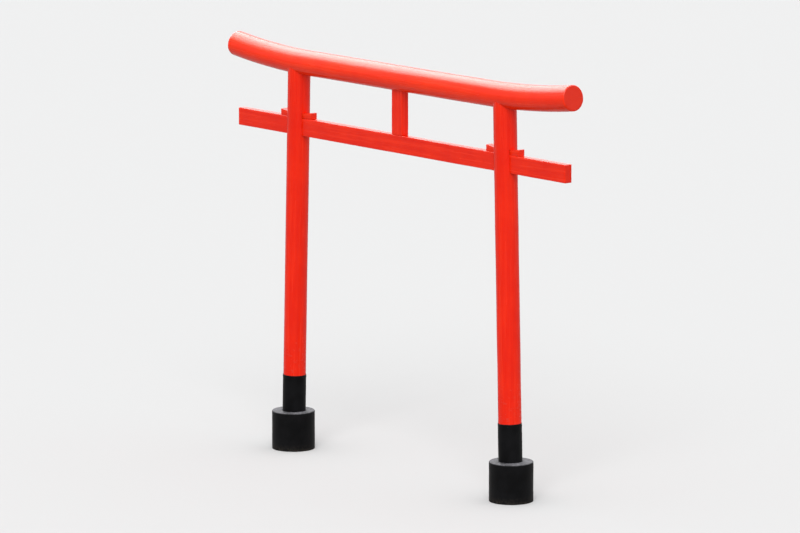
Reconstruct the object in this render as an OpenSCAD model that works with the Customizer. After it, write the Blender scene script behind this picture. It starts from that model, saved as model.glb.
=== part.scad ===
// A small painted timber torii gate: a bowed log lintel and a wedged tie beam on two leaning round posts.
// X runs along the lintel, Y through the passage and Z up. The origin is on the ground, midway between the posts.

/* [Gate] */
// Height from the ground to the top of the lintel at its middle
gate_height = 2400; // [2250:10:2700]
// Distance between the centres of the posts at the ground
post_spacing = 1970; // [1600:10:2300]
// Angle by which each post leans towards the other
post_lean = 1.6; // [0:0.1:3]

/* [Lintel] */
// Length of the lintel between its outermost points
lintel_length = 3030; // [2900:10:3400]
// Diameter of the lintel log
lintel_diameter = 150; // [140:2:180]
// Height by which the lintel's ends stand above its middle
lintel_rise = 50; // [20:1:90]
// Length over which each end of the lintel bends up
lintel_bend = 700; // [400:10:800]
// Width of the chamfer round each cut end of the lintel
lintel_chamfer = 7; // [2:1:15]

/* [Posts] */
// Diameter of a post
post_diameter = 135; // [115:1:138]
// Width of the tenon on top of a post, along the lintel
post_tenon_width = 66; // [40:1:80]
// Thickness of the tenon on top of a post, across the lintel
post_tenon_thickness = 36; // [24:1:50]
// Height of the tenon on top of a post, from the underside of the lintel
post_tenon_height = 92; // [40:1:110]

/* [Tie beam] */
// Height of the open space between the tie beam and the lintel
window_height = 255; // [200:5:320]
// Height of the tie beam
tie_height = 105; // [80:1:130]
// Thickness of the tie beam
tie_thickness = 50; // [48:1:65]
// Length by which each end of the tie beam stops short of the lintel's end
tie_inset = 50; // [20:5:120]
// Width of the chamfers along the tie beam
tie_chamfer = 3; // [1:0.5:4]

/* [Centre strut] */
// Width of the strut between the tie beam and the lintel
strut_width = 92; // [60:1:140]
// Thickness of the strut
strut_thickness = 50; // [36:1:60]
// Width of the strut's tenons
strut_tenon_width = 54; // [30:1:58]
// Thickness of the strut's tenons
strut_tenon_thickness = 16; // [10:1:24]
// Depth of the strut's tenon in the tie beam
strut_lower_tenon = 36; // [15:1:60]
// Depth of the strut's tenon in the lintel
strut_upper_tenon = 48; // [20:1:80]

/* [Wedges] */
// Thickness of a wedge across the tie beam
wedge_thickness = 44; // [30:1:46]
// Height of a wedge's thin end
wedge_thin_end = 19; // [8:1:24]
// Slope of a wedge's upper face
wedge_slope = 8; // [4:0.5:12]
// Length of the inner wedge that stands out of the post
inner_wedge_head = 78; // [15:1:120]
// Length of the outer wedge that stands out of the post
outer_wedge_head = 70; // [15:1:120]

/* [Footings] */
// Diameter of a footing
footing_diameter = 255; // [210:1:320]
// Height of a footing
footing_height = 230; // [150:5:320]
// Thickness of the footing below its socket
footing_floor = 60; // [30:5:100]
// Width of the chamfer round the top of a footing
footing_top_chamfer = 6; // [2:1:12]
// Width of the chamfer round the bottom of a footing
footing_bottom_chamfer = 3; // [1:1:8]

/* [Root wraps] */
// Height of the root wrap that shows above a footing
wrap_height = 220; // [100:5:400]
// Thickness of the root wrap's sheet
wrap_sheet = 1.5; // [1:0.1:4]

/* [Fits] */
// Clearance round each joint
fit = 0.3; // [0.1:0.1:1]

/* [Hidden] */

$fn = 96;
left = -1;
right = 1;

lintel_radius = lintel_diameter / 2;
lintel_axis = gate_height - lintel_radius;
lintel_underside = gate_height - lintel_diameter;
// The bent ends are arcs that leave the straight middle at a tangent.
bend_radius = (lintel_bend * lintel_bend + lintel_rise * lintel_rise) / (2 * lintel_rise);
bend_angle = asin(lintel_bend / bend_radius);
// The end is cut square to the bent axis, so the lower edge of the cut reaches furthest.
lintel_end_reach = (lintel_radius - lintel_chamfer) * sin(bend_angle);
// The straight middle is kept to a tenth of a millimetre, so that its ends and the bends meet exactly.
length_step = 0.1;
straight_half = round((lintel_length / 2 - lintel_bend - lintel_end_reach) / length_step) * length_step;

tie_top = lintel_underside - window_height;
tie_level = tie_top - tie_height;
tie_length = lintel_length - 2 * tie_inset;

post_radius = post_diameter / 2;
// Distance of a post's axis from the middle of the gate at the top of the tie beam
post_at_tie = post_spacing / 2 - tie_top * tan(post_lean);
mortise_half_length = post_diameter;

wrap_inner_diameter = post_diameter + 2 * fit;
wrap_outer_diameter = wrap_inner_diameter + 2 * wrap_sheet;
socket_diameter = wrap_outer_diameter + 2 * fit;

// Length by which a cutter runs past the face that it cuts
cut_margin = 1;

paint_red = "#e33318";
paint_shade = "#c9280f";
paint_black = "#1b1b1f";

// Places its children on a post's leaning axis, with z = 0 at the ground.
module on_post(side) {
    translate([side * post_spacing / 2, 0, 0])
        rotate([0, -side * post_lean, 0])
            children();
}

// One bent end of the lintel, as an arc that ends in a plane square to the log.
module lintel_end(radius) {
    translate([straight_half, 0, lintel_axis + bend_radius])
        rotate([90, 90, 0])
            rotate_extrude(angle = bend_angle)
                translate([bend_radius, 0])
                    circle(r = radius);
}

// The ring that is cut away to chamfer the rim of one end of the lintel.
module lintel_rim() {
    translate([straight_half + lintel_bend, 0, lintel_axis + lintel_rise])
        rotate([0, 90 - bend_angle, 0])
            rotate_extrude()
                polygon([
                    [lintel_radius - lintel_chamfer, 0],
                    [lintel_radius - 2 * lintel_chamfer, lintel_chamfer],
                    [lintel_radius + lintel_chamfer, lintel_chamfer],
                    [lintel_radius + lintel_chamfer, -2 * lintel_chamfer]
                ]);
}

// The whole log, with grow added all round for the seats that are cut to it.
module lintel_log(grow = 0) {
    radius = lintel_radius + grow;
    translate([-straight_half, 0, lintel_axis])
        rotate([0, 90, 0])
            cylinder(r = radius, h = 2 * straight_half);
    lintel_end(radius);
    mirror([1, 0, 0])
        lintel_end(radius);
}

// A box centred on the z axis that runs from z = from to z = to.
module upright_box(width, thickness, from, to) {
    translate([-width / 2, -thickness / 2, from])
        cube([width, thickness, to - from]);
}

// The tenon on top of a post, in the post's own place, or the mortise for it when grow is above zero.
module post_tenon(side, grow = 0) {
    on_post(side)
        upright_box(
            post_tenon_width + 2 * grow,
            post_tenon_thickness + 2 * grow,
            lintel_underside - lintel_radius,
            lintel_underside + post_tenon_height + grow
        );
}

// The strut's two tenons as one bar, or the mortises for them when grow is above zero.
module strut_tenons(grow = 0) {
    upright_box(
        strut_tenon_width + 2 * grow,
        strut_tenon_thickness + 2 * grow,
        tie_top - strut_lower_tenon - grow,
        lintel_underside + strut_upper_tenon + grow
    );
}

// Height above the tie beam of a wedge's upper face, at a distance out from the post's axis.
function wedge_top(distance) = wedge_thin_end + distance * tan(wedge_slope);

// The slot through a post for the tie beam, with a ceiling that slopes down to the middle for the two wedges.
module tie_mortise(side) {
    reach = mortise_half_length;
    translate([side * post_at_tie, 0, tie_top])
        rotate([90, 0, 0])
            linear_extrude(height = tie_thickness + 2 * fit, center = true)
                polygon([
                    [-reach, -tie_height],
                    [reach, -tie_height],
                    [reach, wedge_top(reach) + fit],
                    [0, wedge_top(0) + fit],
                    [-reach, wedge_top(reach) + fit]
                ]);
}

// One wedge, driven in above the tie beam from the side that direction points to.
module wedge(side, direction, head) {
    reach = post_radius + head;
    color(paint_shade)
        translate([side * post_at_tie, 0, tie_top])
            rotate([90, 0, 0])
                linear_extrude(height = wedge_thickness, center = true)
                    polygon([
                        [direction * fit, 0],
                        [direction * reach, 0],
                        [direction * reach, wedge_top(reach)],
                        [direction * fit, wedge_top(fit)]
                    ]);
}

module lintel() {
    color(paint_red)
        difference() {
            lintel_log();
            lintel_rim();
            mirror([1, 0, 0])
                lintel_rim();
            post_tenon(left, fit);
            post_tenon(right, fit);
            strut_tenons(fit);
        }
}

module tie_beam() {
    half_height = tie_height / 2;
    half_thickness = tie_thickness / 2;
    color(paint_red)
        difference() {
            translate([-tie_length / 2, 0, tie_level + half_height])
                rotate([90, 0, 90])
                    linear_extrude(height = tie_length)
                        polygon([
                            [-half_thickness + tie_chamfer, -half_height],
                            [half_thickness - tie_chamfer, -half_height],
                            [half_thickness, -half_height + tie_chamfer],
                            [half_thickness, half_height - tie_chamfer],
                            [half_thickness - tie_chamfer, half_height],
                            [-half_thickness + tie_chamfer, half_height],
                            [-half_thickness, half_height - tie_chamfer],
                            [-half_thickness, -half_height + tie_chamfer]
                        ]);
            strut_tenons(fit);
        }
}

module centre_strut() {
    color(paint_red) {
        difference() {
            upright_box(strut_width, strut_thickness, tie_top, lintel_axis);
            lintel_log(fit);
        }
        strut_tenons();
    }
}

// A round log that stands on the floor of its footing's socket and is hollowed at the top to seat the lintel.
module post(side) {
    color(paint_red) {
        difference() {
            on_post(side)
                translate([0, 0, footing_floor])
                    cylinder(d = post_diameter, h = lintel_axis - footing_floor);
            lintel_log(fit);
            tie_mortise(side);
        }
        post_tenon(side);
    }
}

// The black sheet round the foot of a post, from the floor of the socket to the paint line.
module root_wrap(side) {
    wrap_length = footing_height + wrap_height - footing_floor;
    color(paint_black)
        on_post(side)
            translate([0, 0, footing_floor])
                difference() {
                    cylinder(d = wrap_outer_diameter, h = wrap_length);
                    translate([0, 0, -cut_margin])
                        cylinder(d = wrap_inner_diameter, h = wrap_length + 2 * cut_margin);
                }
}

// A round footing with chamfered edges and a leaning socket for the post.
module footing(side) {
    radius = footing_diameter / 2;
    color(paint_black)
        difference() {
            translate([side * post_spacing / 2, 0, 0])
                rotate_extrude()
                    polygon([
                        [0, 0],
                        [radius - footing_bottom_chamfer, 0],
                        [radius, footing_bottom_chamfer],
                        [radius, footing_height - footing_top_chamfer],
                        [radius - footing_top_chamfer, footing_height],
                        [0, footing_height]
                    ]);
            on_post(side)
                translate([0, 0, footing_floor])
                    cylinder(d = socket_diameter, h = footing_height);
        }
}

lintel();
tie_beam();
centre_strut();
post(left);  // left_post
post(right);  // right_post
wedge(left, right, inner_wedge_head);  // left_inner_wedge
wedge(right, left, inner_wedge_head);  // right_inner_wedge
wedge(left, left, outer_wedge_head);  // left_outer_wedge
wedge(right, right, outer_wedge_head);  // right_outer_wedge
root_wrap(left);  // left_root_wrap
root_wrap(right);  // right_root_wrap
footing(left);  // left_footing
footing(right);  // right_footing
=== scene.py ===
"""The looks of a small painted timber torii gate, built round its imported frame.

X runs along the lintel, Y through the passage from front to back and Z up, in metres.
"""

import math

import bmesh
import bpy
import numpy as np
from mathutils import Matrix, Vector


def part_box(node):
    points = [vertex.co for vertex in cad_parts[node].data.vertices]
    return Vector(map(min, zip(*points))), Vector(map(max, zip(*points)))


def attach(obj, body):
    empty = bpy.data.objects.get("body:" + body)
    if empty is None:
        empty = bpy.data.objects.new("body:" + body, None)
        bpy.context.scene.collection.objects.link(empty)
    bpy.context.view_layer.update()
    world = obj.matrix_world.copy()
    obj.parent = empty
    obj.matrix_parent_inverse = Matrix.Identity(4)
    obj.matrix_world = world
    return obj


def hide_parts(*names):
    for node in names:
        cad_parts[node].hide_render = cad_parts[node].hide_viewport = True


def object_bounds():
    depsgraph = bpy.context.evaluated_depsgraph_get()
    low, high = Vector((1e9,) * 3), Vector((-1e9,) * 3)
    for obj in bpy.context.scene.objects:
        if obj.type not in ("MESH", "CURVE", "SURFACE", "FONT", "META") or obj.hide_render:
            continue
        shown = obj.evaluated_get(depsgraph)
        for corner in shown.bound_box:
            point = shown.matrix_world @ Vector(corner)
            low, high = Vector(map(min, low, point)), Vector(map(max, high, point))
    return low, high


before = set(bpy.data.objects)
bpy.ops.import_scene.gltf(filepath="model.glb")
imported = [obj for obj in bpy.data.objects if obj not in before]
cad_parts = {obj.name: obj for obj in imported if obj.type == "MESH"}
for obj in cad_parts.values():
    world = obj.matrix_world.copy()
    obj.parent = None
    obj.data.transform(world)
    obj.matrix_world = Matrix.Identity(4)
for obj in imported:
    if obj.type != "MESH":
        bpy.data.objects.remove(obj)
cad_low, cad_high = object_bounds()

MM = 0.001
TURN = 2 * math.pi
BODY = "root"
LEFT, RIGHT = -1, 1
SIDE_NAMES = {LEFT: "left", RIGHT: "right"}

# Sizes that the frame's boxes give

lintel_low, lintel_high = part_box("lintel")
tie_low, tie_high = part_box("tie_beam")
strut_low, strut_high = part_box("centre_strut")
post_low, post_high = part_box("right_post")
wedge_low, wedge_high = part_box("right_outer_wedge")
wrap_low, wrap_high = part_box("right_root_wrap")
footing_low, footing_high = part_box("right_footing")

LINTEL_RADIUS = (lintel_high.y - lintel_low.y) / 2
LINTEL_AXIS = lintel_low.z + LINTEL_RADIUS
POST_RADIUS = (post_high.y - post_low.y) / 2
POST_FOOT = (footing_low.x + footing_high.x) / 2
TIE_TOP = tie_high.z
TIE_HEIGHT = tie_high.z - tie_low.z
TIE_THICKNESS = tie_high.y - tie_low.y
WEDGE_THICKNESS = wedge_high.y - wedge_low.y
WRAP_RADIUS = (wrap_high.y - wrap_low.y) / 2
FOOTING_RADIUS = (footing_high.y - footing_low.y) / 2
FOOTING_HEIGHT = footing_high.z

# Sizes that the boxes don't give

POST_LEAN = math.radians(1.6)
LINTEL_BEND = 700 * MM
LINTEL_RISE = 50 * MM
LINTEL_CHAMFER = 7 * MM
SOCKET_FLOOR = 60 * MM
JOINT_GAP = 0.3 * MM
WRAP_SHEET = 1.5 * MM
WRAP_TOP = FOOTING_HEIGHT + 220 * MM
WEDGE_SLOPE = math.radians(8)

BEND_RADIUS = (LINTEL_BEND ** 2 + LINTEL_RISE ** 2) / (2 * LINTEL_RISE)
BEND_ANGLE = math.asin(LINTEL_BEND / BEND_RADIUS)
STRAIGHT_HALF = lintel_high.x - LINTEL_BEND - (LINTEL_RADIUS - LINTEL_CHAMFER) * math.sin(BEND_ANGLE)
LINTEL_HALF = STRAIGHT_HALF + BEND_RADIUS * BEND_ANGLE
POST_AT_TIE = POST_FOOT - TIE_TOP * math.tan(POST_LEAN)
WEDGE_THIN_END = wedge_high.z - TIE_TOP - (wedge_high.x - POST_AT_TIE) * math.tan(WEDGE_SLOPE)

# The photograph's view of the gate, from the right and slightly above

VIEW_AZIMUTH = 50
VIEW_ELEVATION = 9.8
VIEW_DISTANCE = 35
VIEW_LENS = 272
VIEW_CLIP = 300

# The background's level, where 1 is white, and its colour, and the levels of the sky's fill light

BACKGROUND = 0.89
BACKGROUND_COLOUR = (0.98, 0.982, 0.984, 1)
FILL_AT_HORIZON = 0.64
FILL_AT_ZENITH = 1.40

# The floor's colour as it is shown, and as it throws light back

FLOOR_HALF = 150
FLOOR_SHOWN = (0.578, 0.579, 0.5795, 1)
FLOOR_LIT = (0.34, 0.335, 0.328, 1)

# Lamps: name, azimuth, elevation, strength and spread in degrees. Only gloss shows the sheen boxes.

KEY_BOX = ("key", 42, 42, 1.8, 35)
SHEEN_BOXES = (
    ("sheen_overhead", 0, 90, 8, 112),
    ("sheen_left", 262, 40, 3.0, 54),
    ("sheen_low", 228, 17, 0.20, 34),
)


# Random waves

WAVES_IN_RIPPLES = 24
WAVELENGTH_SPREAD = (0.6, 1.6)


def smooth(t):
    """Eases from 0 to 1 as t goes from 0 to 1."""
    t = np.clip(t, 0, 1)
    return t * t * (3 - 2 * t)


def ripples(rng, wavelength, stretch=1.0, count=WAVES_IN_RIPPLES):
    """A smooth random function of points, mostly from -1 to 1, whose waves are longer along the grain."""
    directions = rng.normal(size=(count, 3))
    directions /= np.linalg.norm(directions, axis=1, keepdims=True)
    pace = TURN / (wavelength * rng.uniform(*WAVELENGTH_SPREAD, count))
    waves = directions * pace[:, None] / (stretch, 1, 1)
    phases = rng.uniform(0, TURN, count)
    return lambda points: np.sin(points @ waves.T + phases).sum(axis=-1) / math.sqrt(count)


def unevenness(rng, kinds, points):
    """The sum of kinds of ripples at points, each a wavelength, a stretch along the grain and a height."""
    return sum(ripples(rng, wavelength, stretch)(points) * height for wavelength, stretch, height in kinds)


def dents(rng, kind, points):
    """Separate dents at points, where ripples pass a level. kind gives the ripples, the level and a depth."""
    wavelength, stretch, count, level, depth = kind
    return np.maximum(ripples(rng, wavelength, stretch, count)(points) - level, 0) * depth


# Meshes made of rings

SHARP_ANGLE = math.radians(40)


def ring_faces(rings, columns, closed=False):
    """Quads between neighbouring rings, and from the last ring to the first where closed."""
    pairs = [(i, i + 1) for i in range(rings - 1)]
    if closed:
        pairs.append((rings - 1, 0))
    here = np.arange(columns)
    there = np.roll(here, -1)
    quads = [np.stack([a * columns + here, a * columns + there, b * columns + there, b * columns + here], 1)
             for a, b in pairs]
    return np.concatenate(quads)


def turn_faces_out(mesh):
    """Makes every face of a closed mesh look outwards."""
    shape = bmesh.new()
    shape.from_mesh(mesh)
    bmesh.ops.recalc_face_normals(shape, faces=shape.faces)
    shape.to_mesh(mesh)
    shape.free()


def shade(mesh):
    """Smooth shading, but for the edges that are clearly sharp."""
    mesh.shade_smooth()
    mesh.set_sharp_from_angle(angle=SHARP_ANGLE)


def mesh_object(name, points, faces, grain, marks):
    """A smooth-shaded object with the two point attributes that the materials read.

    grain is the place in the piece, its length first. marks is how far a point is on an edge, on an end
    or top, and in a crevice or lap.
    """
    mesh = bpy.data.meshes.new(name)
    mesh.from_pydata(points.tolist(), [], [list(map(int, face)) for face in faces])
    for attribute, values in (("grain", grain), ("marks", marks)):
        data = mesh.attributes.new(attribute, "FLOAT_VECTOR", "POINT").data
        data.foreach_set("vector", values.astype(np.float32).ravel())
    mesh.validate()
    turn_faces_out(mesh)
    shade(mesh)
    piece = bpy.data.objects.new(name, mesh)
    bpy.context.scene.collection.objects.link(piece)
    return piece


def ring_solid(points, grain, marks, closed=False):
    """The points, faces and attributes of a tube of rings: joined to itself if closed, or ended by fans."""
    rings, columns = points.shape[:2]
    faces = ring_faces(rings, columns, closed).tolist()
    flat = [values.reshape(-1, 3) for values in (points, grain, marks)]
    if not closed:
        first, last = rings * columns, rings * columns + 1
        final = (rings - 1) * columns
        for i in range(columns):
            j = (i + 1) % columns
            faces.append((first, j, i))
            faces.append((last, final + i, final + j))
        flat = [np.concatenate([values, whole[0].mean(0)[None], whole[-1].mean(0)[None]])
                for values, whole in zip(flat, (points, grain, marks))]
    return flat[0], faces, flat[1], flat[2]


def solid_of_rings(name, points, grain, marks, closed=False):
    """One solid of rings as an object."""
    return mesh_object(name, *ring_solid(points, grain, marks, closed))


def solids_joined(name, solids):
    """Several solids that don't touch, as one object."""
    points, faces, grain, marks = zip(*solids)
    starts = np.cumsum([0] + [len(part) for part in points])
    moved = [[i + start for i in face] for start, part in zip(starts, faces) for face in part]
    return mesh_object(name, np.concatenate(points), moved, np.concatenate(grain), np.concatenate(marks))


def cut(piece, grain_of, *cutters):
    """Takes the cutters out of a piece and deletes them. grain_of gives the grain at points of the frame."""
    for cutter in cutters:
        modifier = piece.modifiers.new("cut", "BOOLEAN")
        modifier.operation = "DIFFERENCE"
        modifier.solver = "MANIFOLD"
        modifier.object = cutter
    shape = bpy.data.meshes.new_from_object(piece.evaluated_get(bpy.context.evaluated_depsgraph_get()))
    piece.modifiers.clear()
    piece.data = shape
    shade(shape)
    points = np.empty(3 * len(shape.vertices), np.float32)
    shape.vertices.foreach_get("co", points)
    grain = grain_of(*points.reshape(-1, 3).T)
    shape.attributes["grain"].data.foreach_set("vector", np.stack(grain, 1).astype(np.float32).ravel())
    for cutter in cutters:
        bpy.data.objects.remove(cutter)


def finish_piece(piece, slot, materials, node=None):
    """Dresses a piece, and lets it stand for a CAD node where one is given."""
    piece.data.materials.clear()
    piece.data.materials.append(materials[slot])
    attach(piece, BODY)
    if node:
        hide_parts(node)


# Tilts of a surface, from nothing on the side to a right angle on an end face

FLAT_TILT = 0.05
END_TILT = 1.5


def end_face_share(tilt):
    """How far a surface with this tilt is end grain, from 0 to 1."""
    return smooth(np.abs(tilt) * 4 / math.pi - 0.8)


def on_arris(tilt):
    """Whether a surface with this tilt is between the side and the end face."""
    return (np.abs(tilt) > FLAT_TILT) & (np.abs(tilt) < END_TILT)


# Logs

EVEN_COLUMNS = 88
LOG_STEP = 10 * MM
LOG_WORN = 0.6 * MM
LOG_WAVES = ((0.18, 3.0, 0.35 * MM), (0.03, 12.0, 0.12 * MM))
SEAT_RADIUS = LINTEL_RADIUS - LOG_WORN
ARRIS_STEPS = 4
DISC_SHARES = (0.93, 0.82, 0.70, 0.57, 0.44, 0.31, 0.18, 0.07)
CUTTER_RINGS = 160
CUTTER_COLUMNS = 192

# Cracks in logs: half widths, how far they wander, and the depth that the paint counts as a crevice, where it
# is darkened as painted shade

CRACK_MOUTH = 0.7 * MM
CRACK_LIP = 3 * MM
CRACK_WANDER = 5 * MM
CREVICE_DEPTH = 0.2 * MM

# The angle round the log that follows a crack, and the share of its width that stays where it is shut

CRACK_DRAG = 0.35
CRACK_SHUT = 0.2

# The share of the log's radius from which a crack has its full depth on an end face

CRACK_FULL = 0.9


class Crack:
    """A drying check that runs along a log between two places, at one angle round it.

    On an end face it runs inwards, and closes at a share of the log's radius.
    """

    def __init__(self, rng, angle, start, end, depth, tip=0.12, closes=0.5):
        self.angle = angle
        self.start = start
        self.end = end
        self.depth = depth
        self.tip = tip
        self.closes = closes
        self.wander = ripples(rng, 0.35, count=6)

    def openness(self, along):
        """How far the crack is open at a place along the log, from 0 to 1."""
        return smooth((along - self.start) / self.tip) * smooth((self.end - along) / self.tip)


def log_profile(start, end, radius, arris):
    """Places along a log, radii there and the tilt of the surface, from one end's middle to the other's."""
    turns = np.linspace(0, math.pi / 2, ARRIS_STEPS)
    inner = radius - arris
    sides = np.linspace(start + arris, end - arris, max(2, round((end - start) / LOG_STEP)))[1:-1]
    disc = [inner * share for share in DISC_SHARES]
    rows = [(start, r, -math.pi / 2) for r in reversed(disc)]
    rows += [(start + arris * (1 - math.sin(t)), inner + arris * math.cos(t), -t) for t in reversed(turns)]
    rows += [(s, radius, 0.0) for s in sides]
    rows += [(end - arris * (1 - math.sin(t)), inner + arris * math.cos(t), t) for t in turns]
    rows += [(end, r, math.pi / 2) for r in disc]
    return np.array(rows)


def log_solid(name, start, end, radius, arris, cracks, rng, place):
    """A log from start to end, with drying checks, waves and swellings. place gives points in the frame."""
    profile = log_profile(start, end, radius, arris)
    along, radii, tilt = profile.T
    mouth = np.array([-CRACK_LIP, -CRACK_MOUTH, 0, CRACK_MOUTH, CRACK_LIP]) / radius
    columns = []
    for angle in np.arange(EVEN_COLUMNS) * TURN / EVEN_COLUMNS:
        gaps = [abs((angle - c.angle + math.pi) % TURN - math.pi) for c in cracks]
        if all(gap * radius > 1.5 * CRACK_LIP for gap in gaps):
            columns.append((angle, -1, 0.0))
    columns += [(c.angle, k, offset) for k, c in enumerate(cracks) for offset in mouth]
    columns.sort(key=lambda column: column[0] + column[2])
    base, owner, offset = (np.array(values) for values in zip(*columns))

    clamped = np.clip(along, start, end)
    angle = np.repeat(base[None], len(along), 0)
    depth = np.zeros_like(angle)
    for k, crack in enumerate(cracks):
        line = np.stack([clamped, 0 * clamped, 0 * clamped], 1)
        shift = crack.wander(line) * CRACK_WANDER / radius
        gap = (base - crack.angle + math.pi) % TURN - math.pi
        angle += shift[:, None] * np.exp(-(gap / CRACK_DRAG) ** 2)[None]
        inwards = smooth((radii / radius - crack.closes) / (CRACK_FULL - crack.closes))
        open_here = crack.openness(clamped) * inwards
        own = owner == k
        angle[:, own] += offset[own][None] * (CRACK_SHUT + (1 - CRACK_SHUT) * open_here[:, None])
        centre = own & (offset == 0)
        depth[:, centre] = crack.depth * open_here[:, None]

    radii, tilt, along = radii[:, None], tilt[:, None], along[:, None]
    grain = np.stack([along + 0 * angle, radii * np.cos(angle), radii * np.sin(angle)], -1)
    inward = np.maximum(LOG_WORN - unevenness(rng, LOG_WAVES, grain) + depth, 0)
    points = place(along - inward * np.sin(tilt), radii - inward * np.cos(tilt), angle)
    edge = np.exp(-((np.abs(tilt) - math.pi / 4) / 0.5) ** 2) * on_arris(tilt)
    crevice = (depth > CREVICE_DEPTH) * 1.0
    marks = np.stack([edge + 0 * angle, end_face_share(tilt) + 0 * angle, crevice], -1)
    return solid_of_rings(name, points, grain, marks)


def along_lintel(s, r, angle):
    """A point of the lintel: s from its middle, r from its axis and an angle from the top to the front."""
    s, r, angle = np.broadcast_arrays(s, r, angle)
    side = np.sign(s)
    past = np.maximum(np.abs(s) - STRAIGHT_HALF, 0)
    bend = np.minimum(past / BEND_RADIUS, BEND_ANGLE)
    over = past - bend * BEND_RADIUS
    x = np.minimum(np.abs(s), STRAIGHT_HALF) + BEND_RADIUS * np.sin(bend) + over * np.cos(bend)
    z = LINTEL_AXIS + BEND_RADIUS * (1 - np.cos(bend)) + over * np.sin(bend)
    up = r * np.cos(angle)
    return np.stack([side * (x - up * np.sin(bend)), -r * np.sin(angle), z + up * np.cos(bend)], -1)


def along_post(side):
    """The place function of a leaning post: s from the ground, and an angle from the front to the right."""
    def place(s, r, angle):
        s, r, angle = np.broadcast_arrays(s, r, angle)
        out = r * np.sin(angle)
        x = side * POST_FOOT + out * math.cos(POST_LEAN) - side * s * math.sin(POST_LEAN)
        z = s * math.cos(POST_LEAN) + side * out * math.sin(POST_LEAN)
        return np.stack([x, -r * np.cos(angle), z], -1)
    return place


def within_post(side):
    """The inverse of along_post, which gives the grain at points of the frame."""
    def grain_of(x, y, z):
        out = (x - side * POST_FOOT) * math.cos(POST_LEAN) + side * z * math.sin(POST_LEAN)
        s = z * math.cos(POST_LEAN) - side * (x - side * POST_FOOT) * math.sin(POST_LEAN)
        return s, -y, out
    return grain_of


def plain_log(name, start, end, radius, place):
    """A smooth log for cutting."""
    along = np.linspace(start, end, CUTTER_RINGS)[:, None]
    angle = np.linspace(0, TURN, CUTTER_COLUMNS, endpoint=False)[None]
    points = place(along, radius, angle)
    grain = np.stack(np.broadcast_arrays(along, radius * np.cos(angle), radius * np.sin(angle)), -1)
    return solid_of_rings(name, points, grain, np.zeros_like(points))


# Boards and wedges

STEP_ROUND_BOARD = 9 * MM
STEP_ALONG_BOARD = 12 * MM
END_INSET = 0.85
END_SHARES = (0.85, 0.62, 0.38, 0.14)
BOARD_WORN = 0.45 * MM
BOARD_WAVES = ((0.12, 4.0, 0.25 * MM), (0.02, 10.0, 0.08 * MM))

ARRIS_KNOCKS = (0.035, 2.0, WAVES_IN_RIPPLES, 0.9, 1.6 * MM)


def board_outline(width, thickness, arris):
    """Points round a board's section, the outward direction at each and whether each is on an arris."""
    points, outward, edge = [], [], []
    corners = [(1, 1), (-1, 1), (-1, -1), (1, -1)]
    for k, (a, b) in enumerate(corners):
        centre = np.array([a * (width / 2 - arris), b * (thickness / 2 - arris)])
        turns = np.linspace(0, math.pi / 2, ARRIS_STEPS) + k * math.pi / 2
        for t in turns:
            direction = np.array([math.cos(t), math.sin(t)])
            points.append(centre + arris * direction)
            outward.append(direction)
            edge.append(1.0)
        c, d = corners[(k + 1) % 4]
        following = np.array([c * (width / 2 - arris), d * (thickness / 2 - arris)])
        direction = np.array([math.cos(turns[-1]), math.sin(turns[-1])])
        count = max(2, round(np.linalg.norm(following - centre) / STEP_ROUND_BOARD))
        for share in np.linspace(0, 1, count + 1)[1:-1]:
            points.append(centre + (following - centre) * share + arris * direction)
            outward.append(direction)
            edge.append(0.0)
    return np.array(points), np.array(outward), np.array(edge)


def board_profile(start, end, arris):
    """Places along a board, the inset of its section there, its scale and the tilt of the surface."""
    turns = np.linspace(0, math.pi / 2, ARRIS_STEPS)
    count = max(2, round((end - start) / STEP_ALONG_BOARD))
    sides = np.linspace(start + arris, end - arris, count)[1:-1]
    most = END_INSET * arris
    rows = [(start, most, share, -math.pi / 2) for share in reversed(END_SHARES)]
    rows += [(start + arris * (1 - math.sin(t)), most * (1 - math.cos(t)), 1, -t) for t in reversed(turns)]
    rows += [(s, 0.0, 1.0, 0.0) for s in sides]
    rows += [(end - arris * (1 - math.sin(t)), most * (1 - math.cos(t)), 1, t) for t in turns]
    rows += [(end, most, share, math.pi / 2) for share in END_SHARES]
    return np.array(rows)


def board_solid(name, start, end, width, thickness, arris, rng, place, knocks=1.0, shape=None):
    """A board with eased and slightly knocked arrises. place turns along, across and through into points.

    shape may change across and through before that.
    """
    outline, outward, on_edge = board_outline(width, thickness, arris)
    profile = board_profile(start, end, arris)
    along, inset, scale, tilt = (column[:, None] for column in profile.T)
    section = (outline[None] - outward[None] * inset[..., None]) * scale[..., None]
    grain = np.stack(np.broadcast_arrays(along, section[..., 0], section[..., 1]), -1)
    worn = np.maximum(BOARD_WORN - unevenness(rng, BOARD_WAVES, grain), 0)
    rim = np.maximum(on_edge[None] * (np.abs(tilt) < END_TILT), on_arris(tilt))
    inward = worn + dents(rng, ARRIS_KNOCKS, grain) * knocks * rim
    flat = section - outward[None] * (inward * np.cos(tilt))[..., None]
    lengthwise = along - inward * np.sin(tilt)
    across, through = flat[..., 0], flat[..., 1]
    if shape is not None:
        across, through = shape(lengthwise, across, through)
    points = place(lengthwise, across, through)
    marks = np.stack([rim + 0 * across, end_face_share(tilt) + 0 * across, 0 * across], -1)
    return solid_of_rings(name, points, grain, marks)


def prism(name, outline, half_depth):
    """A straight prism through the gate, from an outline of x and z."""
    ends = [np.array([(x, y, z) for x, z in outline]) for y in (-half_depth, half_depth)]
    points = np.stack(ends)
    return solid_of_rings(name, points, points, np.zeros_like(points))


def wedge_top(distance):
    """Height above the tie beam of a wedge's upper face, at a distance from the post's axis."""
    return WEDGE_THIN_END + distance * math.tan(WEDGE_SLOPE)


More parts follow.
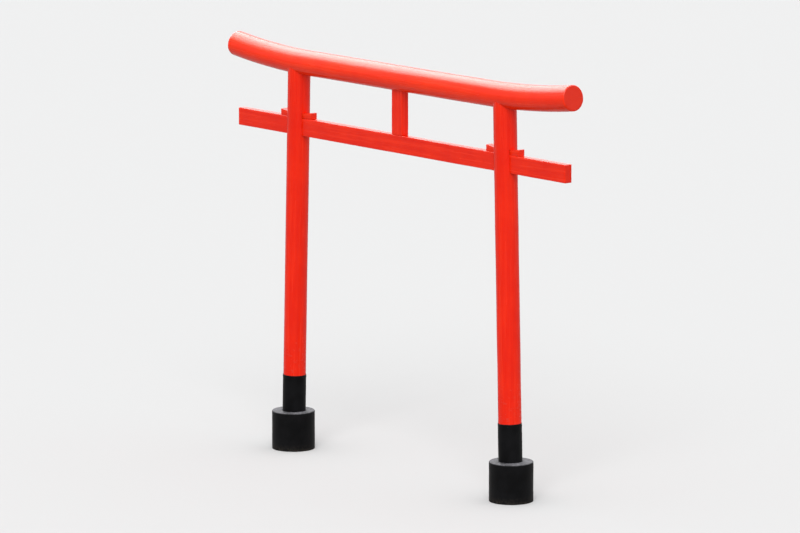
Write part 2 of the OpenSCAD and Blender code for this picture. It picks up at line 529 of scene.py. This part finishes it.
def mortise_cutter(side):
    """The slot through a post for the tie beam and its wedges, with a ceiling that slopes to the middle."""
    reach = 2 * POST_RADIUS
    middle = side * POST_AT_TIE
    outline = [
        (middle - reach, TIE_TOP - TIE_HEIGHT),
        (middle + reach, TIE_TOP - TIE_HEIGHT),
        (middle + reach, TIE_TOP + wedge_top(reach) + JOINT_GAP),
        (middle, TIE_TOP + wedge_top(0) + JOINT_GAP),
        (middle - reach, TIE_TOP + wedge_top(reach) + JOINT_GAP),
    ]
    return prism("mortise_cutter", outline, TIE_THICKNESS / 2 + JOINT_GAP)


# Materials

BUMP_DEPTH = 1.0 * MM
TIMBER_GLOSS = 0.25
BLACK_GLOSS = 0.08

# Brush marks: how many times finer than one metre they are along the grain and across it

BANDS = (1.6, 45, 45)
STROKES = (7, 300, 300)
BLACK_STROKES = (9, 240, 240)

# Growth rings, and knots with their whorls

RING_SPACING = 4.5 * MM
RING_WAVER = 14 * MM
KNOTS = (0.6, 1, 1)
KNOTS_IN_A_METRE = 4.3
KNOT_RIM = 0.125
KNOT_HEART = 0.06
KNOT_RAGGED = 0.07
WHORLS = 210

# Levels of noise between which paint is chipped or scuffed, and heights that splashes and soil reach

CHIP_LEVELS = (0.68, 0.72)
SCUFF_LEVELS = (0.63, 0.69)
SPLASH_HEIGHTS = (0.75, 0.45)
SOIL_HEIGHTS = (0.045, 0.0)

# How much of its colour each of these puts over the paint

STROKE_SHARE = 0.10
KNOT_SHARE = 0.2
END_SHARE = 0.25
# The lintel's share is end grain soaking up paint, and painted shade on its end faces
LINTEL_END_SOAK_AND_SHADE = 0.65
LATE_WOOD_SHARE = 0.25
CHIP_SHARE = 0.7
# Painted shade in the cracks
CRACK_SHADE_SHARE = 0.8
SPLASH_SHARE = 0.22
SOIL_SHARE = 0.22
SCUFF_SHARE = 0.45

# How much each of these raises or lowers the surface

BAND_RELIEF = 0.32
STROKE_RELIEF = 0.05
WHORL_RELIEF = 0.07
LATE_WOOD_RELIEF = 0.14
CHIP_RELIEF = 0.4
BLACK_STROKE_RELIEF = 0.25

# Colours: the paints' base tones, dust, and what shows in chips, splashes, soil and scuffs; the crevice
# colour is painted shade, and the footing's dust is also a painted sheen of the sky

BLACK = (0.0022, 0.0022, 0.0026)
WRAP_DUST = (0.017, 0.0165, 0.016)
# On the footing's top: partly dust, partly a painted pale sheen of the sky
FOOTING_DUST_AND_SHEEN = (0.26, 0.256, 0.280)
CHIPPED_COLOUR = (0.24, 0.10, 0.06)
CRACK_SHADE_COLOUR = (0.07, 0.010, 0.006)
# The near-black red of painted shade in the cracks
SPLASH_COLOUR = (0.22, 0.07, 0.04)
SOIL_COLOUR = (0.13, 0.105, 0.08)
SCUFF_COLOUR = (0.09, 0.087, 0.083)


class Nodes:
    """Short names for the shader nodes of a material or of the world."""

    def __init__(self, owner):
        owner.use_nodes = True
        self.owner = owner
        self.tree = owner.node_tree

    def set(self, socket, value):
        """Links a socket to another, or gives it a value."""
        if isinstance(value, bpy.types.NodeSocket):
            self.tree.links.new(value, socket)
        else:
            socket.default_value = value

    def add(self, kind, inputs=(), **settings):
        """A node with some settings and with inputs by name or number."""
        node = self.tree.nodes.new(kind)
        for key, value in settings.items():
            setattr(node, key, value)
        for key, value in dict(inputs).items():
            self.set(node.inputs[key], value)
        return node

    def attribute(self, name):
        """A point attribute."""
        return self.add("ShaderNodeAttribute", attribute_name=name).outputs["Vector"]

    def parts(self, vector):
        """The three coordinates of a vector."""
        split = self.add("ShaderNodeSeparateXYZ", {0: vector})
        return split.outputs[0], split.outputs[1], split.outputs[2]

    def height(self):
        """The height above the ground."""
        return self.parts(self.add("ShaderNodeTexCoord").outputs["Object"])[2]

    def math(self, operation, a, b=0.0, clamp=False):
        return self.add("ShaderNodeMath", {0: a, 1: b}, operation=operation, use_clamp=clamp).outputs[0]

    def times(self, a, b):
        return self.math("MULTIPLY", a, b)

    def plus(self, a, b, clamp=False):
        return self.math("ADD", a, b, clamp)

    def vector(self, operation, a, b=(0, 0, 0)):
        return self.add("ShaderNodeVectorMath", {0: a, 1: b}, operation=operation)

    def stretch(self, vector, scale):
        return self.vector("MULTIPLY", vector, scale).outputs[0]

    def noise(self, vector, scale, detail, roughness=0.5):
        inputs = {"Vector": vector, "Scale": scale, "Detail": detail, "Roughness": roughness}
        return self.add("ShaderNodeTexNoise", inputs).outputs[0]

    def ramp(self, value, low, high, start=0.0, end=1.0):
        """Value, eased from start at low to end at high."""
        inputs = {0: value, 1: low, 2: high, 3: start, 4: end}
        return self.add("ShaderNodeMapRange", inputs, interpolation_type="SMOOTHSTEP").outputs[0]

    def mix(self, factor, a, b):
        node = self.add("ShaderNodeMix", data_type="RGBA")
        for index, value in ((0, factor), (6, a), (7, b)):
            self.set(node.inputs[index], (*value, 1) if isinstance(value, tuple) else value)
        return node.outputs[2]

    def bump(self, height, strength):
        inputs = {"Height": height, "Distance": BUMP_DEPTH, "Strength": strength}
        return self.add("ShaderNodeBump", inputs).outputs[0]


def scaled(colour, factor):
    """A colour made darker or brighter."""
    return tuple(factor * value for value in colour)


def timber_paint(name, deep, bright, faded, pith, end_soak_and_shade=END_SHARE):
    """Gloss vermilion paint, brushed along the grain, over wood that shows through it faintly.

    The wood's growth rings lie round the pith, a place in the section that may be outside the piece.
    The last argument is how much darker the paint is on end grain, which soaks it up; on the lintel it adds
    painted shade.
    """
    n = Nodes(bpy.data.materials.new(name))
    shader = n.tree.nodes["Principled BSDF"]
    grain = n.attribute("grain")
    edge, end_face, crevice = n.parts(n.attribute("marks"))
    up = n.parts(n.add("ShaderNodeNewGeometry").outputs["Normal"])[2]

    # Brushed bands, fine strokes and blotches

    bands = n.noise(n.stretch(grain, BANDS), 1, 3, 0.55)
    strokes = n.noise(n.stretch(grain, STROKES), 1, 2, 0.5)
    mottle = n.noise(grain, 5, 3, 0.6)

    # Knots, with whorls that the paint hardly hides

    centres = n.add("ShaderNodeTexVoronoi", {"Vector": n.stretch(grain, KNOTS), "Scale": KNOTS_IN_A_METRE})
    ragged = n.times(n.noise(grain, 45, 3, 0.6), KNOT_RAGGED)
    knots = n.plus(centres.outputs["Distance"], ragged)
    knot = n.ramp(knots, KNOT_RIM, KNOT_HEART)
    whorl = n.times(n.math("SINE", n.times(knots, WHORLS)), knot)

    # Growth rings on end grain

    from_pith = n.vector("SUBTRACT", grain, (0, *pith)).outputs[0]
    radius = n.vector("LENGTH", n.stretch(from_pith, (0, 1, 1))).outputs["Value"]
    uneven = n.times(n.noise(grain, 16, 2), RING_WAVER)
    rings = n.math("SINE", n.times(n.plus(radius, uneven), TURN / RING_SPACING))
    late_wood = n.times(n.ramp(rings, 0.1, 0.9), end_face)

    # Colour

    varied = n.ramp(n.plus(n.times(bands, 0.5), n.times(mottle, 0.5)), 0.30, 0.74)
    colour = n.mix(varied, deep, bright)
    colour = n.mix(n.times(n.ramp(strokes, 0.45, 0.8), STROKE_SHARE), colour, deep)
    weathered = n.times(n.ramp(up, 0.35, 1.0), n.ramp(mottle, 0.3, 0.7, 0.2, 0.5))
    colour = n.mix(weathered, colour, faded)
    shade = scaled(deep, 0.62)
    colour = n.mix(n.times(knot, KNOT_SHARE), colour, shade)
    # End grain darker: paint soaked up, and on the lintel's end faces painted shade too
    colour = n.mix(n.times(end_face, end_soak_and_shade), colour, shade)
    colour = n.mix(n.times(late_wood, LATE_WOOD_SHARE), colour, shade)
    chipped = n.times(edge, n.ramp(n.noise(grain, 55, 3, 0.6), *CHIP_LEVELS))
    colour = n.mix(n.times(chipped, CHIP_SHARE), colour, CHIPPED_COLOUR)
    # Painted shade: the cracks darkened to a near-black red
    colour = n.mix(n.times(crevice, CRACK_SHADE_SHARE), colour, CRACK_SHADE_COLOUR)
    splash = n.times(n.ramp(n.height(), *SPLASH_HEIGHTS), n.ramp(n.noise(grain, 38, 3, 0.7), 0.54, 0.72))
    colour = n.mix(n.times(splash, SPLASH_SHARE), colour, SPLASH_COLOUR)
    n.set(shader.inputs["Base Color"], colour)

    # Gloss

    rough = n.ramp(bands, 0.3, 0.7, 0.20, 0.30)
    rough = n.plus(rough, n.times(end_face, 0.16))
    rough = n.plus(rough, n.times(n.math("MAXIMUM", chipped, splash), 0.3), clamp=True)
    n.set(shader.inputs["Roughness"], rough)
    n.set(shader.inputs["Specular IOR Level"], TIMBER_GLOSS)

    # Relief

    relief = n.plus(n.times(bands, BAND_RELIEF), n.times(strokes, STROKE_RELIEF))
    relief = n.plus(relief, n.times(whorl, WHORL_RELIEF))
    relief = n.math("SUBTRACT", relief, n.times(late_wood, LATE_WOOD_RELIEF))
    relief = n.math("SUBTRACT", relief, n.times(chipped, CHIP_RELIEF))
    n.set(shader.inputs["Normal"], n.bump(relief, 0.8))
    return n.owner


def black_paint(name, dust_and_sheen_colour, roughness, grit):
    """Satin black paint on sheet or cast concrete, with dust on top and in the lap, and soil at the foot; the
    footing's top dust is also a painted sheen.
    """
    n = Nodes(bpy.data.materials.new(name))
    shader = n.tree.nodes["Principled BSDF"]
    grain = n.attribute("grain")
    edge, top_face, lap = n.parts(n.attribute("marks"))
    mottle = n.noise(grain, 9, 4, 0.6)
    pores = n.noise(grain, 160, 3, 0.65)
    strokes = n.noise(n.stretch(grain, BLACK_STROKES), 1, 2)

    # Colour

    colour = n.mix(n.ramp(mottle, 0.35, 0.65), BLACK, scaled(BLACK, 1.7))
    speckle = n.ramp(n.noise(grain, 55, 6, 0.75), 0.36, 0.62, 0.45, 1.25)
    # Dust on tops and in the lap; on the footing's top the pale lavender grey is also a painted sheen of the
    # sky
    dust_and_sheen_place = n.math("MAXIMUM", top_face, n.times(lap, 0.4))
    dust_and_sheen = n.times(dust_and_sheen_place, n.times(n.ramp(mottle, 0.35, 0.7, 0.2, 0.6), speckle))
    colour = n.mix(dust_and_sheen, colour, dust_and_sheen_colour)
    soil = n.times(n.ramp(n.height(), *SOIL_HEIGHTS), n.ramp(n.noise(grain, 70, 5, 0.7), 0.40, 0.70))
    colour = n.mix(n.times(soil, SOIL_SHARE), colour, SOIL_COLOUR)
    scuffed = n.times(edge, n.ramp(n.noise(grain, 90, 3, 0.6), *SCUFF_LEVELS))
    colour = n.mix(n.times(scuffed, SCUFF_SHARE), colour, SCUFF_COLOUR)
    n.set(shader.inputs["Base Color"], colour)

    # Gloss and relief

    rough = n.ramp(mottle, 0.3, 0.7, roughness - 0.06, roughness + 0.08)
    rough = n.plus(rough, n.times(n.math("MAXIMUM", dust_and_sheen, soil), 0.3), clamp=True)
    n.set(shader.inputs["Roughness"], rough)
    n.set(shader.inputs["Specular IOR Level"], BLACK_GLOSS)
    relief = n.plus(n.times(pores, grit), n.times(strokes, BLACK_STROKE_RELIEF))
    n.set(shader.inputs["Normal"], n.bump(relief, 0.7))
    return n.owner


def make_materials():
    """The finishes, by the record's slot names."""
    log_pith = (6 * MM, -4 * MM)
    board_pith = (-30 * MM, 65 * MM)

    # Deep, bright and faded paint, the pith, and the share on end grain, which for the lintel also holds
    # painted shade on its end faces

    timber = {
        # The lintel's vermilion is set brighter than the posts' and beams': painted light, standing in for
        # more light on the lintel
        "lintel_paint": (
            (0.84, 0.019, 0.0010), (0.95, 0.036, 0.0018), (0.95, 0.060, 0.012), log_pith, LINTEL_END_SOAK_AND_SHADE,
        ),
        "beam_paint": ((0.72, 0.011, 0.0008), (0.86, 0.024, 0.0016), (0.88, 0.048, 0.012), board_pith),
        "post_paint": ((0.72, 0.010, 0.0008), (0.86, 0.022, 0.0014), (0.86, 0.042, 0.010), log_pith),
        "wedge_paint": ((0.72, 0.014, 0.0012), (0.88, 0.032, 0.0024), (0.90, 0.065, 0.022), board_pith),
    }

    # Dust, roughness and grit; the footing's dust is also a painted sheen of the sky on its top

    black = {
        "wrap_black": (WRAP_DUST, 0.40, 0.08),
        "footing_black": (FOOTING_DUST_AND_SHEEN, 0.46, 0.7),
    }
    materials = {slot: timber_paint(slot, *values) for slot, values in timber.items()}
    materials.update({slot: black_paint(slot, *values) for slot, values in black.items()})
    return materials


# Pieces

SEEDS = {"lintel": 11, "post": 23, "tie_beam": 31, "strut": 37, "wedge": 41, "wrap": 53, "footing": 67}
POST_ARRIS = 2 * MM
TIE_ARRIS = 3.5 * MM
STRUT_ARRIS = 3 * MM
WEDGE_ARRIS = 2.5 * MM
WEDGE_KNOCKS = 1.6

# Wraps. Angles round them are in radians.

WRAP_COLUMNS = 160
WRAP_RINGS = 60
LAP_ANGLE = 0.75 * math.pi
LAP_STEP = 0.9 * MM
LAP_RAMP = 0.26
LAP_EDGE = 0.004
SEAM_WIDTH = 0.05
WRAP_WORN = 0.25 * MM
WRAP_WAVES = ((0.09, 1.5, WRAP_WORN),)
DEEPEST_DENT = 1.2 * MM
DENTS_FADE = 10 * MM

# Nails

RIM_NAILS = 8
LAP_NAILS = 4
NAIL_RADIUS = 4 * MM
NAIL_HEIGHT = 1.3 * MM
NAIL_COLUMNS = 12
NAIL_SUNK = 0.9 * MM
NAIL_FROM_EDGE = 14 * MM
NAIL_FROM_FOOT = 18 * MM
NAIL_FROM_LAP = 0.10

# Footings

FOOTING_COLUMNS = 240
FOOTING_RIM = 6 * MM
FOOTING_FOOT = 3 * MM
UNDERSIDE_SHARES = (0.1, 0.4, 0.7, 0.9)
WALL_RINGS = 64
TOP_RINGS = 15
SOCKET_RINGS = 12
SOCKET_SHARES = (0.8, 0.45, 0.15)
FOOTING_WORN = 0.3 * MM
FOOTING_WAVES = ((0.12, 1.0, FOOTING_WORN),)
FOOTING_CHIPS = (0.022, 1.0, WAVES_IN_RIPPLES, 1.15, 5 * MM)
FOOTING_PITS = (0.011, 1.0, 40, 1.75, 4 * MM)
DEEPEST_CHIP = 4 * MM


def make_lintel(materials):
    rng = np.random.default_rng(SEEDS["lintel"])
    end = LINTEL_HALF
    cracks = [
        Crack(rng, 2.55, -0.80, -0.25, 4 * MM),
        Crack(rng, 3.75, -0.10, 0.95, 5 * MM),
        Crack(rng, 5.30, -0.95, 0.20, 5 * MM),
        Crack(rng, 2.20, end - 0.34, end + 1, 6 * MM, 0.30, 0.12),
        Crack(rng, 4.70, end - 0.12, end + 1, 5 * MM, 0.10, 0.45),
        Crack(rng, 0.50, end - 0.05, end + 1, 4 * MM, 0.05, 0.60),
        Crack(rng, 5.85, -end - 1, -end + 0.30, 6 * MM, 0.26, 0.15),
        Crack(rng, 1.30, -end - 1, -end + 0.07, 5 * MM, 0.06, 0.50),
    ]
    piece = log_solid("lintel_log", -end, end, LINTEL_RADIUS, LINTEL_CHAMFER, cracks, rng, along_lintel)
    finish_piece(piece, "lintel_paint", materials, "lintel")


def make_post(side, materials):
    rng = np.random.default_rng(SEEDS["post"] + side)
    cracks = [
        Crack(rng, rng.uniform(1.7, 2.2), rng.uniform(0.45, 0.6), rng.uniform(0.9, 1.1), 4 * MM),
        Crack(rng, rng.uniform(2.7, 3.4), rng.uniform(0.9, 1.2), rng.uniform(1.7, 1.8), 5 * MM),
        Crack(rng, rng.uniform(4.4, 5.4), rng.uniform(0.5, 0.8), rng.uniform(1.2, 1.7), 5 * MM),
    ]
    name = f"{SIDE_NAMES[side]}_post"
    piece = log_solid(f"{name}_log", SOCKET_FLOOR, LINTEL_AXIS, POST_RADIUS, POST_ARRIS, cracks, rng,
                      along_post(side))
    seat = plain_log("seat_cutter", -LINTEL_HALF, LINTEL_HALF, SEAT_RADIUS, along_lintel)
    cut(piece, within_post(side), mortise_cutter(side), seat)
    finish_piece(piece, "post_paint", materials, name)


def make_tie_beam(materials):
    rng = np.random.default_rng(SEEDS["tie_beam"])
    middle = (tie_low.z + tie_high.z) / 2

    def place(along, across, through):
        return np.stack(np.broadcast_arrays(along, through, middle + across), -1)

    piece = board_solid("tie_beam_board", tie_low.x, tie_high.x, TIE_HEIGHT, TIE_THICKNESS, TIE_ARRIS, rng,
                        place)
    finish_piece(piece, "beam_paint", materials, "tie_beam")


def make_strut(materials):
    rng = np.random.default_rng(SEEDS["strut"])

    def place(along, across, through):
        return np.stack(np.broadcast_arrays(across, through, along), -1)

    width, thickness = strut_high.x - strut_low.x, strut_high.y - strut_low.y
    piece = board_solid("centre_strut_board", TIE_TOP, LINTEL_AXIS, width, thickness, STRUT_ARRIS, rng, place)
    seat = plain_log("seat_cutter", -STRAIGHT_HALF, STRAIGHT_HALF, SEAT_RADIUS, along_lintel)
    cut(piece, lambda x, y, z: (z, x, y), seat)
    finish_piece(piece, "beam_paint", materials, "centre_strut")


def make_wedge(side, direction, node, materials):
    """A driven wedge: its upper face slopes down towards the post's axis, and its head is battered."""
    rng = np.random.default_rng(SEEDS["wedge"] + 3 * side + direction)
    low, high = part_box(node)
    axis = side * POST_AT_TIE
    end = high.x - axis if direction > 0 else axis - low.x
    tallest = wedge_top(end)

    def taper(along, across, through):
        return (across / tallest + 0.5) * wedge_top(along), through

    def place(along, across, through):
        return np.stack(np.broadcast_arrays(axis + direction * along, through, TIE_TOP + across), -1)

    piece = board_solid(f"{node}_block", JOINT_GAP, end, tallest, WEDGE_THICKNESS, WEDGE_ARRIS, rng, place,
                        WEDGE_KNOCKS, taper)
    finish_piece(piece, "wedge_paint", materials, node)


def make_wrap(side, materials):
    """A black sheet round the post's foot, lapped at the side away from the passage."""
    rng = np.random.default_rng(SEEDS["wrap"] + side)
    lap_angle = LAP_ANGLE * side
    angle = lap_angle + np.linspace(0, TURN, WRAP_COLUMNS, endpoint=False)
    past = (angle - lap_angle) % TURN
    step = np.where(past < LAP_RAMP, LAP_STEP * (1 - past / LAP_RAMP), 0)
    step[0] = 0
    angle[1] = angle[0] + LAP_EDGE

    # Rows up the outside, over the sheet's edge and down the inside

    top, outer, inner = WRAP_TOP, WRAP_RADIUS, WRAP_RADIUS - WRAP_SHEET
    rows = [(s, outer, 0.0) for s in np.linspace(SOCKET_FLOOR, top - WRAP_SHEET / 2, WRAP_RINGS)]
    rows += [(top - 0.2 * MM, outer - 0.3 * MM, 1.0), (top, outer - WRAP_SHEET / 2, 1.0)]
    rows += [(top - 0.2 * MM, inner + 0.2 * MM, 1.0), (top - 1 * MM, inner, 0.0), (SOCKET_FLOOR, inner, 0.0)]
    along, radii, edge = (column[:, None] for column in np.array(rows).T)
    round_it = angle[None]
    grain = np.stack(np.broadcast_arrays(along, radii * np.cos(round_it), radii * np.sin(round_it)), -1)

    shown = smooth((along - FOOTING_HEIGHT) / DENTS_FADE)
    worn = (WRAP_WORN + unevenness(rng, WRAP_WAVES, grain)) * shown
    dented = radii - np.clip(step[None] + worn, 0, DEEPEST_DENT) * shown
    on_outside = radii > outer - 1 * MM
    points = along_post(side)(along, np.where(on_outside, dented, radii), round_it)

    seam = np.exp(-(np.minimum(past, TURN - past) / SEAM_WIDTH) ** 2)
    marks = np.stack(np.broadcast_arrays(edge, 0 * along, seam[None]), -1)
    piece = solid_of_rings(f"{SIDE_NAMES[side]}_root_sheet", points, grain, marks, closed=True)
    finish_piece(piece, "wrap_black", materials, f"{SIDE_NAMES[side]}_root_wrap")


def make_nails(side, materials):
    """The nail heads that hold a wrap: a row under its upper edge, and one down its lap."""
    lap_angle = (LAP_ANGLE - NAIL_FROM_LAP) * side
    top = WRAP_TOP - NAIL_FROM_EDGE
    spots = [(top, lap_angle + k * TURN / RIM_NAILS) for k in range(RIM_NAILS)]
    spots += [(s, lap_angle) for s in np.linspace(FOOTING_HEIGHT + NAIL_FROM_FOOT, top, LAP_NAILS + 1)[:-1]]
    bulge = np.linspace(0, math.pi / 2, 5)[:-1]
    reach = [0.5 * NAIL_RADIUS] + [NAIL_RADIUS] * 2 + [NAIL_RADIUS * math.cos(t) for t in bulge[1:]]
    proud = [-NAIL_SUNK, -NAIL_SUNK] + [NAIL_HEIGHT * math.sin(t) - NAIL_SUNK / 3 for t in bulge]
    reach, proud = np.array(reach)[:, None], np.array(proud)[:, None]
    turn = np.linspace(0, TURN, NAIL_COLUMNS, endpoint=False)[None]
    solids = []
    for s, angle in spots:
        points = along_post(side)(s + reach * np.cos(turn), WRAP_RADIUS + proud,
                                  angle + reach * np.sin(turn) / WRAP_RADIUS)
        marks = np.zeros_like(points)
        marks[..., 0] = proud > 0
        solids.append(ring_solid(points, points, marks))
    finish_piece(solids_joined(f"{SIDE_NAMES[side]}_root_nails", solids), "wrap_black", materials)


def make_footing(side, materials):
    """A round cast footing with an eased, slightly chipped rim and a leaning socket for the post."""
    rng = np.random.default_rng(SEEDS["footing"] + side)
    radius, height, rim, foot = FOOTING_RADIUS, FOOTING_HEIGHT, FOOTING_RIM, FOOTING_FOOT
    socket = WRAP_RADIUS + JOINT_GAP
    turns = np.linspace(0, math.pi / 2, 5)

    # Rows of height and radius, whether they are on an edge and how far they face up

    rows = [(0.0, radius * share, 0, 0) for share in UNDERSIDE_SHARES]
    rows += [(foot * (1 - math.cos(t)), radius - foot + foot * math.sin(t), 1, 0) for t in turns]
    rows += [(z, radius, 0, 0) for z in np.linspace(foot, height - rim, WALL_RINGS + 2)[1:-1]]
    rows += [(height - rim + rim * math.sin(t), radius - rim + rim * math.cos(t), 1, t / 1.6) for t in turns]
    rows += [(height, r, 0, 1) for r in np.linspace(radius - rim, socket + 1 * MM, TOP_RINGS + 1)[1:]]
    rows += [(height - 0.5 * MM, socket, 0, 1)]
    in_socket = [(z, socket, 0, 0) for z in np.linspace(height - 2 * MM, SOCKET_FLOOR, SOCKET_RINGS)]
    in_socket += [(SOCKET_FLOOR, socket * share, 0, 0) for share in SOCKET_SHARES]
    z, radii, edge, top_face = (column[:, None] for column in np.array(rows + in_socket).T)
    angle = np.linspace(0, TURN, FOOTING_COLUMNS, endpoint=False)[None]

    # The socket leans with the post, and the top's rings pass over to it

    outside = np.arange(len(z))[:, None] < len(rows)
    inwards = smooth((radius - rim - radii) / (radius - rim - socket)) * (z > height - rim)
    shift = -side * np.where(outside, inwards, 1) * z * math.tan(POST_LEAN)

    grain = np.stack(np.broadcast_arrays(z, radii * np.cos(angle), radii * np.sin(angle)), -1)
    waves = FOOTING_WORN + unevenness(rng, FOOTING_WAVES, grain)
    chips = dents(rng, FOOTING_CHIPS, grain) * edge
    pits = dents(rng, FOOTING_PITS, grain)
    exposed = (radii > socket + 2 * MM) * (z > 0.5 * MM)
    inward = np.clip(waves + chips + pits, 0, DEEPEST_CHIP) * exposed
    reach = radii - inward * (1 - top_face)
    points = np.stack([
        side * POST_FOOT + shift + reach * np.sin(angle),
        -reach * np.cos(angle),
        z - inward * top_face,
    ], -1)
    marks = np.stack(np.broadcast_arrays(edge, top_face, 0 * angle), -1)
    piece = solid_of_rings(f"{SIDE_NAMES[side]}_footing_cast", points, grain, marks)
    finish_piece(piece, "footing_black", materials, f"{SIDE_NAMES[side]}_footing")


# Stage


def make_floor():
    """A plain pale floor that keeps the shadow, and throws less light back than it shows."""
    mesh = bpy.data.meshes.new("floor")
    corners = [(x * FLOOR_HALF, y * FLOOR_HALF, 0) for x, y in ((-1, -1), (1, -1), (1, 1), (-1, 1))]
    mesh.from_pydata(corners, [], [(0, 1, 2, 3)])
    n = Nodes(bpy.data.materials.new("floor"))
    n.tree.nodes.remove(n.tree.nodes["Principled BSDF"])
    shown = n.add("ShaderNodeBsdfDiffuse", {"Color": FLOOR_SHOWN})
    lit = n.add("ShaderNodeBsdfDiffuse", {"Color": FLOOR_LIT})
    camera_ray = n.add("ShaderNodeLightPath").outputs["Is Camera Ray"]
    mixed = n.add("ShaderNodeMixShader", {0: camera_ray, 1: lit.outputs[0], 2: shown.outputs[0]})
    n.set(n.tree.nodes["Material Output"].inputs["Surface"], mixed.outputs[0])
    mesh.materials.append(n.owner)
    floor = bpy.data.objects.new("floor", mesh)
    bpy.context.scene.collection.objects.link(floor)


def make_world():
    """A pale background for the camera and in reflections, and a sky's fill light, stronger overhead."""
    world = bpy.data.worlds.new("studio")
    bpy.context.scene.world = world
    n = Nodes(world)
    path = n.add("ShaderNodeLightPath")
    shown = n.math("MAXIMUM", path.outputs["Is Camera Ray"], path.outputs["Is Glossy Ray"])
    shown = n.math("MAXIMUM", shown, path.outputs["Is Transmission Ray"])
    up = n.parts(n.add("ShaderNodeTexCoord").outputs["Generated"])[2]
    levels = {"Value": up, "To Min": FILL_AT_HORIZON, "To Max": FILL_AT_ZENITH}
    fill = n.add("ShaderNodeMapRange", levels).outputs[0]
    level = n.add("ShaderNodeMix", {0: shown, 2: fill, 3: BACKGROUND}, data_type="FLOAT").outputs[0]
    background = n.tree.nodes["Background"]
    n.set(background.inputs["Color"], BACKGROUND_COLOUR)
    n.set(background.inputs["Strength"], level)


def from_angles(azimuth, elevation):
    """The direction that the views' angles give, as a unit vector from the gate."""
    a, e = math.radians(azimuth), math.radians(elevation)
    return Vector((math.sin(a) * math.cos(e), -math.cos(a) * math.cos(e), math.sin(e)))


def facing(direction):
    """The turn of a lamp or camera that stands in a direction from the gate and looks back at it."""
    return (-direction).to_track_quat("-Z", "Y").to_euler()


def make_softbox(name, azimuth, elevation, strength, spread):
    """A wide soft lamp, so far off that it lights all of the gate alike."""
    lamp = bpy.data.lights.new(name, "SUN")
    lamp.energy = strength
    lamp.angle = math.radians(spread)
    box = bpy.data.objects.new(name, lamp)
    box.rotation_euler = facing(from_angles(azimuth, elevation))
    bpy.context.scene.collection.objects.link(box)
    return box


def make_camera(centre):
    data = bpy.data.cameras.new("camera")
    data.lens = VIEW_LENS
    data.clip_end = VIEW_CLIP
    camera = bpy.data.objects.new("camera", data)
    direction = from_angles(VIEW_AZIMUTH, VIEW_ELEVATION)
    camera.location = centre + direction * VIEW_DISTANCE
    camera.rotation_euler = facing(direction)
    bpy.context.scene.collection.objects.link(camera)
    bpy.context.scene.camera = camera


materials = make_materials()
make_lintel(materials)
make_tie_beam(materials)
make_strut(materials)
for side in (LEFT, RIGHT):
    make_post(side, materials)
    make_wedge(side, -side, f"{SIDE_NAMES[side]}_inner_wedge", materials)
    make_wedge(side, side, f"{SIDE_NAMES[side]}_outer_wedge", materials)
    make_wrap(side, materials)
    make_nails(side, materials)
    make_footing(side, materials)

make_floor()
make_world()
make_softbox(*KEY_BOX)
for box in SHEEN_BOXES:
    make_softbox(*box).visible_diffuse = False
make_camera((cad_low + cad_high) / 2)
bpy.context.scene.view_settings.view_transform = "Standard"
